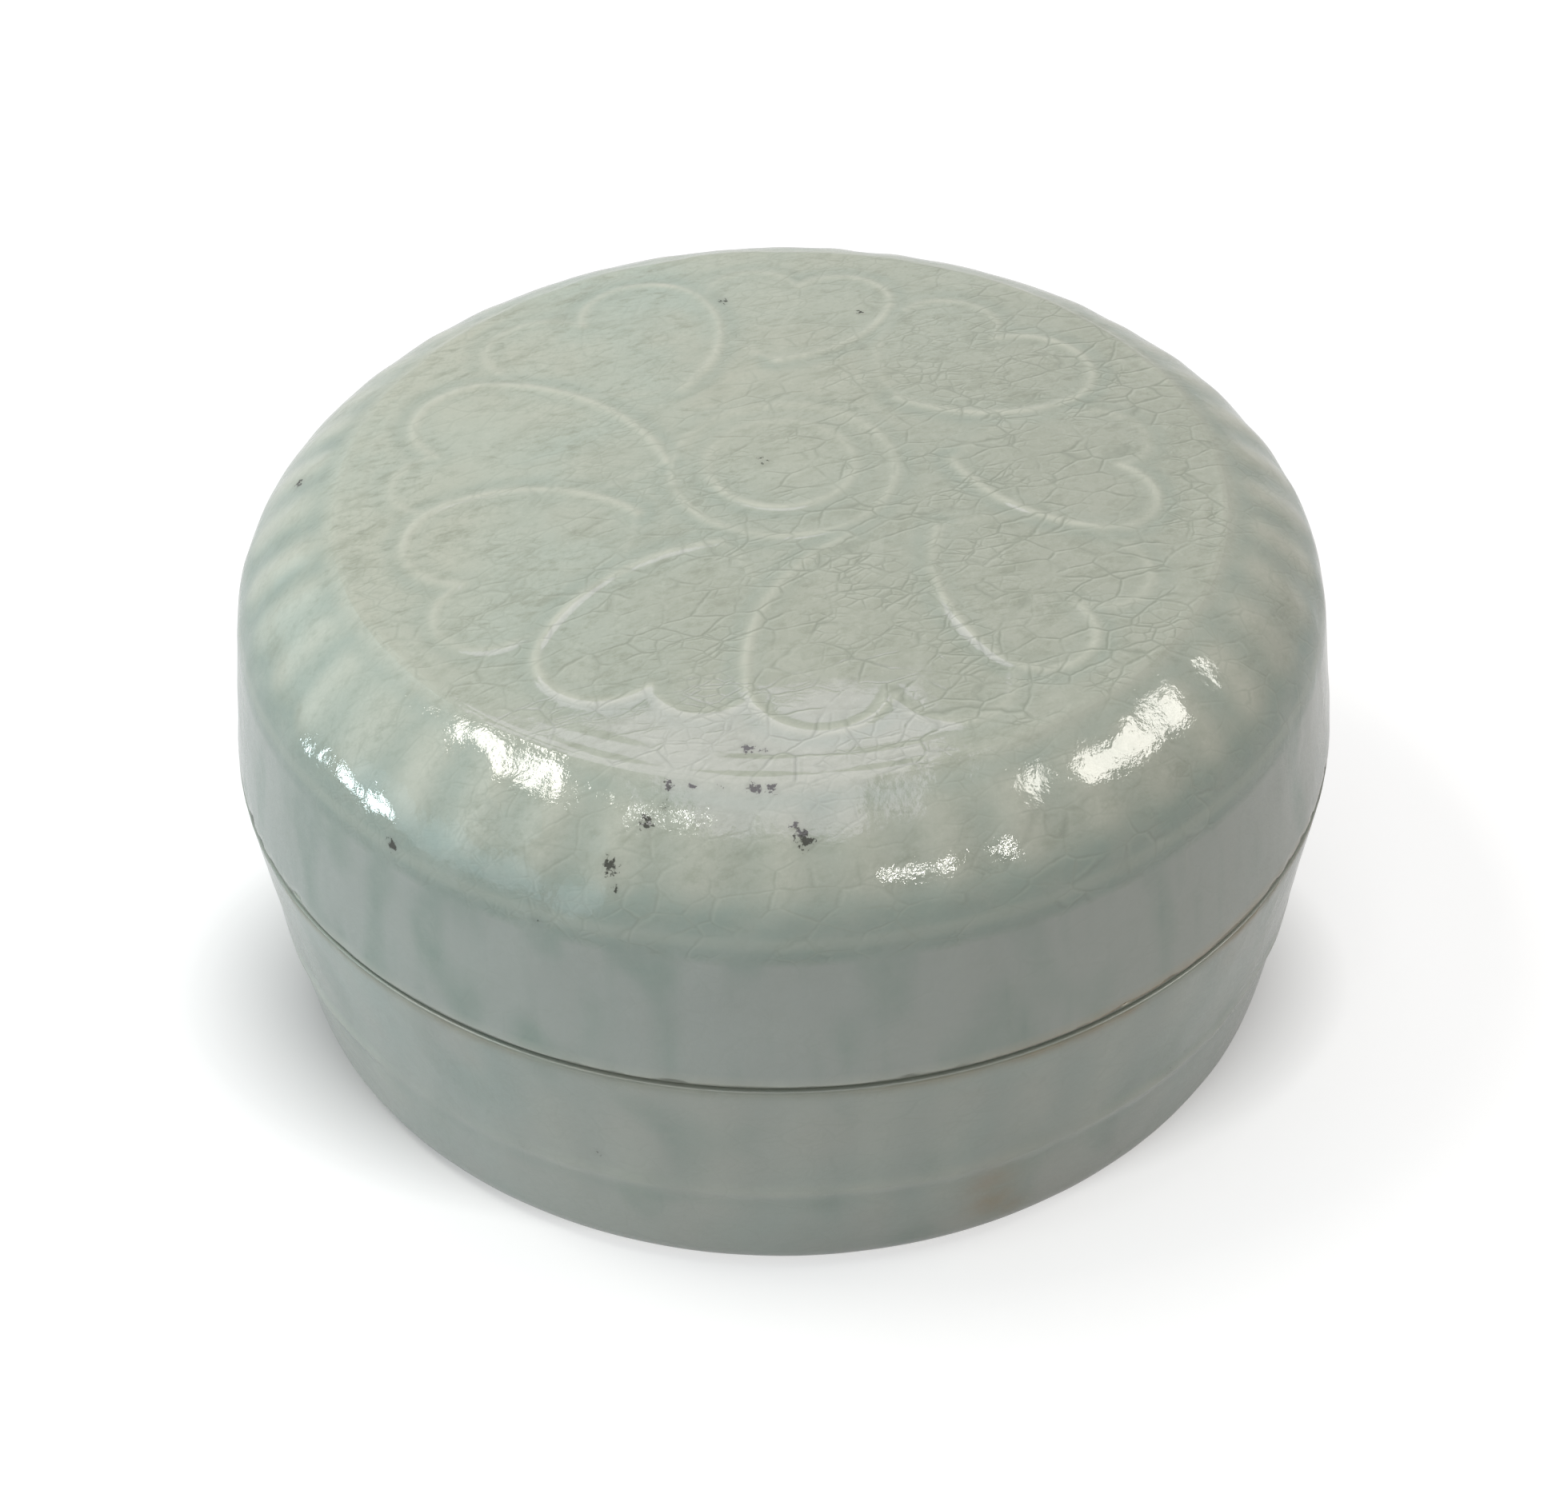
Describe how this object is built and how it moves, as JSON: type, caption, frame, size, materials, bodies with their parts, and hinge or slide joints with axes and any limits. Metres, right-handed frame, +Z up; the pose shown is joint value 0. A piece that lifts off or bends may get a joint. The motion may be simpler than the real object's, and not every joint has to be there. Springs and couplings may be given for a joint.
{
  "type": "seal paste box",
  "caption": "Round glazed porcelain box with a fluted, flower-moulded lid that lifts off a flanged base holding red seal paste.",
  "frame": {"origin": "middle of the face that the box stands on", "axes": "+Z up along the round box's axis; -Y is the side that the picture looks from"},
  "size_m": [0.075, 0.075, 0.0387],
  "materials": {
    "base_glaze": "glossy pale grey-green glaze, fine crackle",
    "lid_glaze": "glossy pale grey-green glaze, fine crackle",
    "seal_paste": "soft oily cinnabar paste with fibres"
  },
  "bodies": {
    "base": {"box_base": "base_glaze", "seal_paste": "seal_paste"},
    "lid": {"box_lid": "lid_glaze"}
  },
  "joints": [
    {"name": "lid_lift", "type": "slide", "parent": "base", "child": "lid", "axis": [0, 0, 1], "range_m": [0, 0.06]}
  ]
}
